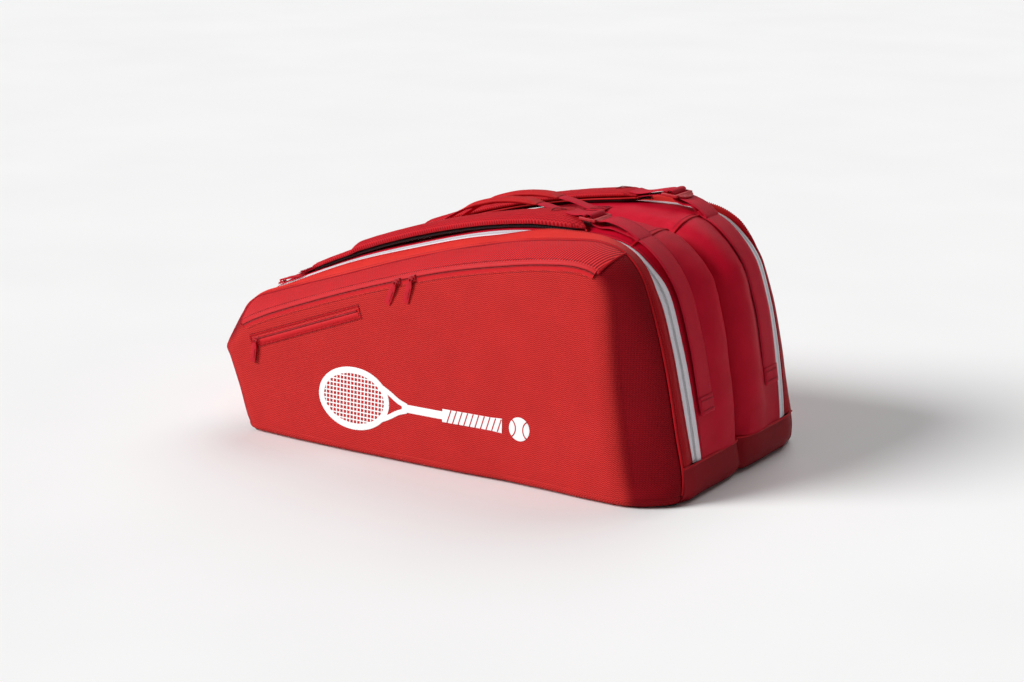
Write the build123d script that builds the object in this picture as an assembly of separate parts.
"""Racket tournament bag: two racket compartments side by side, each closed by a
perimeter zip and an opening side cover that carries an outer pocket.

Frame: +X from the narrow nose to the wide end, -Y the front, +Z up.
The origin is the centre of the overall box at floor level. Millimetres.
"""
from build123d import *
import math
import os

# ---- driving dimensions -------------------------------------------------------------
WALL = 4.0                  # padded fabric panel
TAPE = 1.6                  # zip tape and webbing
GAP = 0.3                   # clearance between pieces that move apart
Y_GROOVE = 2.5              # half width of the groove between the compartments
Y_PANEL = 113.0             # outer edge of the compartment panels
Y_ZIP = 125.0               # middle of the main zip
Y_BAND = 137.0              # inner edge of the cover's band
Y_SEAM = 160.0              # seam between band and pocket
Y_FACE = 210.0              # outside of the pocket face
FACE_THICK = 3.2            # pocket face and its zip
Z_BASE_SEAM = 51.0          # height of the turned-up base
Z_COVER = 9.0               # underside of the opening covers
GROOVE_DEPTH = 9.0          # groove between the compartments
FOOT_SET = 4.0              # how far the floor stops short of the pocket face
SHOULDER_X = 262.0          # seam between top panel and end panel
NOSE_X = -312.0             # seam between top panel and nose panel
STRAP_IN, STRAP_OUT = 62.0, 118.0
WEB_IN, WEB_OUT = 67.0, 106.0
WEB_END_Z = 130.0           # lower end of the shoulder webbing
HANDLE_IN, HANDLE_OUT = 17.0, 39.0
PULL = 42.0                 # length of a zip pull
PIVOT = 5.6                 # height of a pull's pivot above its zip

SIDES = {"front": -1, "rear": 1}

# ---- outlines in the XZ plane, as corners and arc points ------------------------------
BODY = {                    # compartments, inboard of the band
    "base_nose": (-330, 0),
    "base_end": (364, 0),
    "end_low": (374, 46),
    "end_high": (330, 262),
    "shoulder": (280, 323),
    "top_right": (200, 343),
    "top_mid": (-20, 311),
    "top_left": (-338, 197),
    "nose_tip": (-374, 141),
}
SEAM = {                    # where band and pocket meet
    "base_nose": (-330, 0),
    "base_end": (362, 0),
    "end_low": (371, 42),
    "end_high": (318, 272),
    "shoulder": (298, 320),
    "top_right": (246, 343),
    "top_mid": (-20, 296),
    "top_left": (-345, 184),
    "nose_tip": (-374, 138),
}
FACE = {                    # outer face of the pocket
    "base_nose": (-319, 0),
    "base_end": (322, 0),
    "end_low": (322, 26),
    "end_high": (283, 288),
    "shoulder": (271, 311),
    "top_right": (240, 321),
    "top_mid": (-20, 277),
    "top_left": (-338, 165),
    "nose_tip": (-361, 127),
}
FACE_ZIP_ENDS = ((-361, 146), (300, 300))       # line above which the pocket face has its zip
PAD_LINE = {                # underside of each padded strap
    "front": ((-272, 229), (-53, 308), (166, 348)),
    "rear": ((-272, 229), (-53, 308), (166, 348)),
}
PAD_MESH, PAD_COVER = 7.0, 10.0                 # its two layers
LOCK_AT = {"front": (178.0, 358.0), "rear": (208.0, 365.0)}  # pivot bar of each ladder lock
LOCK_TILT = -4.0            # the locks point slightly down
TAIL = {                    # free end of each shoulder webbing
    "front": ((232, 355), (270, 343)),
    "rear": ((256, 359), (295, 346)),
}
HANDLE_LINE = ((-118, 291), (8, 349), (112, 340))
HANDLE_THICK = 4.0
SMALL_ZIP = ((-312.0, 137.0), (-118.0, 208.0))  # small slanted zip on the front face
SMALL_ZIP_WIDTH = 15.0
POUCH_DROP, POUCH_DEEP = 88.0, 9.0


# ---- plane geometry --------------------------------------------------------------------
def outline(p, inset=0.0):
    """Closed face in the XZ plane from a set of outline points, moved in by inset."""
    edges = [
        Line(p["base_nose"], p["base_end"]),
        Line(p["base_end"], p["end_low"]),
        Line(p["end_low"], p["end_high"]),
        ThreePointArc(p["end_high"], p["shoulder"], p["top_right"]),
        ThreePointArc(p["top_right"], p["top_mid"], p["top_left"]),
        Line(p["top_left"], p["nose_tip"]),
        Line(p["nose_tip"], p["base_nose"]),
    ]
    face = make_face(edges)
    if inset:
        face = offset(face, amount=-inset, kind=Kind.INTERSECTION)
    return face


def ring(p, depth, inset=0.0):
    """Ring that follows an outline, depth wide, starting inset from its edge."""
    return outline(p, inset) - outline(p, inset + depth)


def circle_through(p):
    """Centre and radius of an outline's long top arc."""
    (ax, ay), (bx, by), (cx, cy) = p["top_right"], p["top_mid"], p["top_left"]
    d = 2 * (ax * (by - cy) + bx * (cy - ay) + cx * (ay - by))
    a2, b2, c2 = ax**2 + ay**2, bx**2 + by**2, cx**2 + cy**2
    ux = (a2 * (by - cy) + b2 * (cy - ay) + c2 * (ay - by)) / d
    uy = (a2 * (cx - bx) + b2 * (ax - cx) + c2 * (bx - ax)) / d
    return (ux, uy), math.hypot(ax - ux, ay - uy)


def on_top_arc(p, x, inset=0.0):
    """Point of the long top arc at x, moved in by inset, and the slope there in degrees."""
    (cx, cz), r = circle_through(p)
    rise = math.sqrt(r**2 - (x - cx) ** 2)
    k = 1 - inset / r
    return cx + (x - cx) * k, cz + rise * k, math.degrees(math.atan2(cx - x, rise))


def arc_strip(line, lift, thickness):
    """Curved strip of even height above an arc through three XZ points."""
    low = [(x, z + lift) for x, z in line]
    high = [(x, z + thickness) for x, z in low]
    return make_face([
        ThreePointArc(*low),
        Line(low[2], high[2]),
        ThreePointArc(*reversed(high)),
        Line(high[0], low[0]),
    ])


# ---- solids ------------------------------------------------------------------------------
def plane_at(y):
    """Sketch plane whose local x and y are the bag's X and Z, with its normal along -Y."""
    return Plane(origin=(0, y, 0), x_dir=(1, 0, 0), z_dir=(0, -1, 0))


def between(face, side, y_in, y_out):
    """Solid of an XZ face from y_in to y_out on the given side of the bag."""
    low, high = sorted((side * y_in, side * y_out))
    return extrude(plane_at(high) * face, amount=high - low)


def box_between(lo, hi):
    size = [b - a for a, b in zip(lo, hi)]
    middle = [(a + b) / 2 for a, b in zip(lo, hi)]
    return Pos(*middle) * Box(*size)


def tapered_shell(side, p_in, y_in, p_out, y_out, floor=0.0):
    """Shell lofted between two outlines, cut off at the height of its floor."""
    near, far = plane_at(side * y_in), plane_at(side * y_out)
    outer = loft([near * outline(p_in), far * outline(p_out)])
    inner = loft([near * outline(p_in, WALL), far * outline(p_out, WALL)])
    outer &= box_between((-500, -500, floor), (500, 500, 500))
    inner &= box_between((-500, -500, floor + WALL), (500, 500, 500))
    return outer - inner


ABOVE_BASE = box_between((-500, -500, Z_BASE_SEAM + GAP), (500, 500, 500))
BELOW_BASE = box_between((-500, -500, -1), (500, 500, Z_BASE_SEAM))
COVER_SPACE = box_between((-500, -500, Z_COVER), (500, 500, 500))


# ---- compartments ---------------------------------------------------------------------------
def compartment_panels(name, side):
    shell = between(ring(BODY, WALL), side, Y_GROOVE, Y_PANEL) & ABOVE_BASE
    return {
        f"{name}_nose_panel": shell & box_between((-500, -500, 0), (NOSE_X, 500, 500)),
        f"{name}_top_panel": shell & box_between((NOSE_X, -500, 0), (SHOULDER_X, 500, 500)),
        f"{name}_end_panel": shell & box_between((SHOULDER_X, -500, 0), (500, 500, 500)),
    }


def base_panel():
    """Floor of the whole bag with its turned-up ends."""
    y_foot = Y_FACE - FOOT_SET
    nose, end = BODY["base_nose"][0], BODY["base_end"][0]
    tray = Part()
    for side in SIDES.values():
        tray += between(ring(BODY, WALL), side, 0, Y_BAND) & BELOW_BASE
        tray += tapered_shell(side, BODY, Y_BAND, SEAM, Y_SEAM) & BELOW_BASE
        foot = Polyline(
            (nose, side * Y_SEAM),
            (end - 2, side * Y_SEAM),
            (FACE["base_end"][0], side * y_foot),
            (FACE["base_nose"][0], side * y_foot),
            close=True)
        tray += extrude(make_face(foot), amount=WALL)
    return tray


def base_boards():
    """Stiff insert in the floor of each compartment."""
    boards = Part()
    for side in SIDES.values():
        low, high = sorted((side * 8, side * 114))
        boards += box_between((-318, low, WALL), (350, high, WALL + 3))
    return boards


def center_divider():
    core = between(outline(BODY, GROOVE_DEPTH), -1, -Y_GROOVE, Y_GROOVE)
    return core & box_between((-500, -500, WALL), (500, 500, 500))


def main_zip(name, side):
    """Two tapes of the perimeter zip: the inner stays, the outer opens with the cover."""
    strip = ring(BODY, TAPE)
    return {
        f"{name}_main_zip_inner_tape": between(strip, side, Y_PANEL, Y_ZIP - GAP) & ABOVE_BASE,
        f"{name}_main_zip_outer_tape": between(strip, side, Y_ZIP + GAP, Y_BAND) & ABOVE_BASE,
    }


# ---- opening side covers with their pockets ---------------------------------------------------
def cover_parts(name, side):
    y_rim = Y_FACE - FACE_THICK - GAP
    band = tapered_shell(side, BODY, Y_BAND, SEAM, Y_SEAM) & ABOVE_BASE
    wall = between(outline(SEAM, WALL + 4 * GAP), side, Y_SEAM - 3, Y_SEAM) & COVER_SPACE
    gusset = tapered_shell(side, SEAM, Y_SEAM, FACE, y_rim, floor=Z_COVER)
    return {
        f"{name}_cover_band": band,
        f"{name}_cover_wall": wall,
        f"{name}_pocket_gusset": gusset,
    }


def above_zip_line(lower_by=0.0):
    """Space above the line through the ends of the pocket zip."""
    (x0, z0), (x1, z1) = FACE_ZIP_ENDS
    slope = math.degrees(math.atan2(z1 - z0, x1 - x0))
    return Pos(x0, 0, z0) * Rot(0, -slope, 0) * box_between((-200, -300, -lower_by), (900, 300, 400))


def pocket_face(name, side):
    y_in, y_rim = Y_FACE - FACE_THICK, Y_FACE - FACE_THICK - GAP
    half = 4.8                                   # width of one tape of the pocket zip
    full = between(outline(FACE), side, y_in, Y_FACE) & COVER_SPACE
    cleared = between(ring(FACE, half + GAP), side, y_in, Y_FACE) & above_zip_line(GAP)
    border = between(ring(FACE, 2 * half + GAP), side, y_in, Y_FACE) & above_zip_line(GAP)
    lower = between(ring(FACE, half, half + GAP), side, y_in, Y_FACE) & above_zip_line()
    upper = between(ring(FACE, half), side, y_rim, Y_FACE) & above_zip_line()
    return {
        f"{name}_pocket_face": full - cleared - border,
        f"{name}_pocket_zip_upper_tape": upper,
        f"{name}_pocket_zip_lower_tape": lower,
    }


# ---- small front pocket and emblem -------------------------------------------------------------
def small_zip_place():
    """Frame at the middle of the small zip, X along it; and the zip's length."""
    (x0, z0), (x1, z1) = SMALL_ZIP
    slope = math.degrees(math.atan2(z1 - z0, x1 - x0))
    return Pos((x0 + x1) / 2, 0, (z0 + z1) / 2) * Rot(0, -slope, 0), math.dist(*SMALL_ZIP), slope


def small_pocket():
    place, length, _ = small_zip_place()
    y_back = Y_FACE - FACE_THICK
    half = SMALL_ZIP_WIDTH / 2
    tape = box_between((-length / 2, -Y_FACE, -half), (length / 2, -Y_FACE + TAPE, half))
    pouch = box_between((-length / 2 + 4, -y_back, -POUCH_DROP), (length / 2 - 4, -y_back + POUCH_DEEP, 6))
    pouch -= box_between((-length / 2 + 6, -y_back, -POUCH_DROP + 2),
                         (length / 2 - 6, -y_back + POUCH_DEEP - 2, 6))
    return {"small_pocket_zip": place * tape, "small_pocket_pouch": place * pouch & COVER_SPACE}


def small_pocket_slot():
    """Recess for the small zip in the front pocket face, and the slit behind it."""
    place, length, _ = small_zip_place()
    end, half = length / 2, SMALL_ZIP_WIDTH / 2
    recess = box_between((-end, -Y_FACE - 1, -half), (end, -Y_FACE + TAPE, half))
    slit = box_between((-end + 8, -Y_FACE - 1, -2.5), (end - 8, -Y_FACE + FACE_THICK + 1, 2.5))
    return place * (recess + slit)


def emblem():
    """Flat racket-and-ball patch on the front face."""
    patch = Pos(-128, 82) * Ellipse(62, 45)
    patch += Pos(10, 82) * Rectangle(170, 13)
    patch += Pos(72, 82) * Rectangle(96, 19)
    patch += Pos(148, 82) * Circle(17)
    return between(patch, -1, Y_FACE, Y_FACE + 0.8)


# ---- zip sliders and pulls -----------------------------------------------------------------------
def slider(turn):
    """Zip slider: X along the zip, Z out of the bag; its bridge is turned about Z."""
    body = box_between((-6, -4.5, GAP), (6, 4.5, 3.3))
    bridge = Rot(0, 90, 0) * Cylinder(0.8, 6.6)
    for x in (-3.3, 3.3):
        bridge += Pos(x, 0, -0.7) * Box(1.2, 3, 3.4)
    return body + Pos(0, 0, PIVOT) * Rot(0, 0, turn) * bridge


def pull(turn, droop=0.0, length=PULL):
    """Flat pull on the slider's bridge, along -Y before it is turned about Z."""
    tab = Rot(0, 90, 0) * Cylinder(1.8, 4.6)
    tab += Pos(0, -2.6, 0) * Box(4.6, 5.2, 2.4)
    tab += Pos(0, -(5 + length) / 2, 0) * Box(9.6, length - 5, 2.4)
    tab -= Rot(0, 90, 0) * Cylinder(1.0, 10)
    return Pos(0, 0, PIVOT) * Rot(0, 0, turn) * Rot(droop, 0, 0) * tab


def face_place(side, x, z, slope):
    """Frame on a pocket face: X along the zip, Z out of the face."""
    c, s = math.cos(math.radians(slope)), math.sin(math.radians(slope))
    return Plane(origin=(x, side * Y_FACE, z), x_dir=(-side * c, 0, -side * s), z_dir=(0, side, 0))


def top_place(x, side):
    """Frame on the main zip's long top arc: X along the zip, Z outward."""
    px, pz, slope = on_top_arc(BODY, x)
    c, s = math.cos(math.radians(slope)), math.sin(math.radians(slope))
    return Plane(origin=(px, side * Y_ZIP, pz), x_dir=(c, 0, s), z_dir=(-s, 0, c))


def pocket_sliders():
    made = {}
    zip_inset = 4.95                             # middle of the pocket zip
    for name, side, x in (
        ("front_pocket_slider_left", -1, -56.0),
        ("front_pocket_slider_right", -1, -30.0),
        ("rear_pocket_slider", 1, 40.0),
    ):
        px, pz, slope = on_top_arc(FACE, x, zip_inset)
        place = face_place(side, px, pz, slope)
        upright = side * slope                   # the pull hangs straight down
        made[name] = place * slider(upright)
        made[f"{name}_pull"] = place * pull(upright)
    return made


def main_sliders():
    made = {}
    for name, side in SIDES.items():
        place = top_place(-322.0, side)
        made[f"{name}_main_slider"] = place * slider(90)
        made[f"{name}_main_slider_pull"] = place * pull(90, droop=6.0)
    return made


def small_slider():
    _, _, slope = small_zip_place()
    (x, z), c, s = SMALL_ZIP[0], math.cos(math.radians(slope)), math.sin(math.radians(slope))
    place = face_place(-1, x + 9 * c, z + 9 * s, slope)
    return {
        "small_pocket_slider": place * slider(-slope),
        "small_pocket_slider_pull": place * pull(-slope, length=34.0),
    }


# ---- shoulder straps -------------------------------------------------------------------------------
def strap_parts(name, side):
    line, (lock_x, lock_z) = PAD_LINE[name], LOCK_AT[name]
    mesh = between(arc_strip(line, 0, PAD_MESH), side, STRAP_IN, STRAP_OUT)
    cover = between(arc_strip(line, PAD_MESH, PAD_COVER), side, STRAP_IN, STRAP_OUT)
    tab = between(ring(BODY, 5, -5 - GAP), side, STRAP_IN + 3, STRAP_OUT - 3)
    tab &= box_between((-312, -500, 100), (line[0][0] - GAP, 500, 500))
    loop = Circle(3.6) - Circle(2.1)
    reach = lock_x - line[2][0]                  # from the pad's end to the pivot bar
    loop += Pos(-(reach + 1.8) / 2, -2.8) * Rectangle(reach - 1.8, 1.6)
    return {
        f"{name}_strap_mesh": mesh,
        f"{name}_strap_cover": cover,
        f"{name}_strap_anchor": tab,
        f"{name}_lock_loop": between(Pos(lock_x, lock_z) * loop, side, WEB_IN, WEB_OUT),
    }


def ladder_lock(name, side):
    """Plastic ladder lock: pivot bar, two slots and a half-round lifting tab."""
    middle = (WEB_IN + WEB_OUT) / 2
    inner = (WEB_OUT - WEB_IN) / 2 + 0.5         # half width of the slots
    half = inner + 3
    thick = 4.2
    frame = box_between((0, -half, -thick / 2), (24, half, thick / 2))
    frame -= box_between((-1, -inner, -thick), (9, inner, thick))
    frame -= box_between((12, -inner, -thick), (19, inner, thick))
    frame += Rot(90, 0, 0) * Cylinder(1.8, 2 * half)
    tab = extrude(Ellipse(12, 19) & Pos(20, 0) * Rectangle(40, 80), amount=3)
    frame += Pos(22, 0, 0) * Rot(0, 6, 0) * Pos(0, 0, -1.5) * tab
    x, z = LOCK_AT[name]
    return Pos(x, side * middle, z) * Rot(0, -LOCK_TILT, 0) * frame


def webbing_parts(name, side):
    over = between(ring(BODY, TAPE, -2 * TAPE), side, WEB_IN, WEB_OUT)
    over &= box_between((226, -500, WEB_END_Z), (500, 500, 500))
    (x0, z0), (x1, z1) = TAIL[name]
    tail = Polyline((x0, z0), (x1, z1), (x1, z1 - TAPE), (x0, z0 - TAPE), close=True)
    return {
        f"{name}_strap_webbing": over,
        f"{name}_webbing_tail": between(make_face(tail), side, WEB_IN, WEB_OUT),
    }


def webbing_anchors():
    """Folded, sewn-down lower ends of both shoulder webbings."""
    both = Part()
    for side in SIDES.values():
        tab = between(ring(BODY, 4, -4), side, WEB_IN - 1, WEB_OUT + 1)
        both += tab & box_between((300, -500, WEB_END_Z - 22), (500, 500, WEB_END_Z - GAP))
    return both


# ---- carry handles ------------------------------------------------------------------------------------
def carry_handle(side):
    return between(arc_strip(HANDLE_LINE, 0, HANDLE_THICK), side, HANDLE_IN, HANDLE_OUT)


def handle_anchors():
    """Sewn patches at both ends of each handle."""
    patches = Part()
    for side in SIDES.values():
        strip = between(ring(BODY, TAPE, -TAPE), side, HANDLE_IN, HANDLE_OUT)
        for x in (HANDLE_LINE[0][0] - 28, HANDLE_LINE[2][0] + 2):
            patches += strip & box_between((x, -500, 100), (x + 26, 500, 500))
    return patches


# ---- whole bag -------------------------------------------------------------------------------------------
def build():
    nodes = {
        "base_panel": base_panel(),
        "base_boards": base_boards(),
        "center_divider": center_divider(),
        "emblem_patch": emblem(),
        "webbing_anchors": webbing_anchors(),
        "handle_anchors": handle_anchors(),
    }
    for made in (small_pocket(), small_slider(), pocket_sliders(), main_sliders()):
        nodes.update(made)
    for name, side in SIDES.items():
        for maker in (compartment_panels, main_zip, cover_parts, pocket_face, strap_parts, webbing_parts):
            nodes.update(maker(name, side))
        nodes[f"{name}_ladder_lock"] = ladder_lock(name, side)
        nodes[f"{name}_carry_handle"] = carry_handle(side)
    nodes["front_pocket_face"] -= small_pocket_slot()
    return nodes


if __name__ == "__main__":
    os.makedirs("parts", exist_ok=True)
    for node, shape in build().items():
        export_step(shape, f"parts/{node}.step")
    for label, p in (("body", BODY), ("face", FACE)):
        print(label, "top arc centre and radius", circle_through(p))
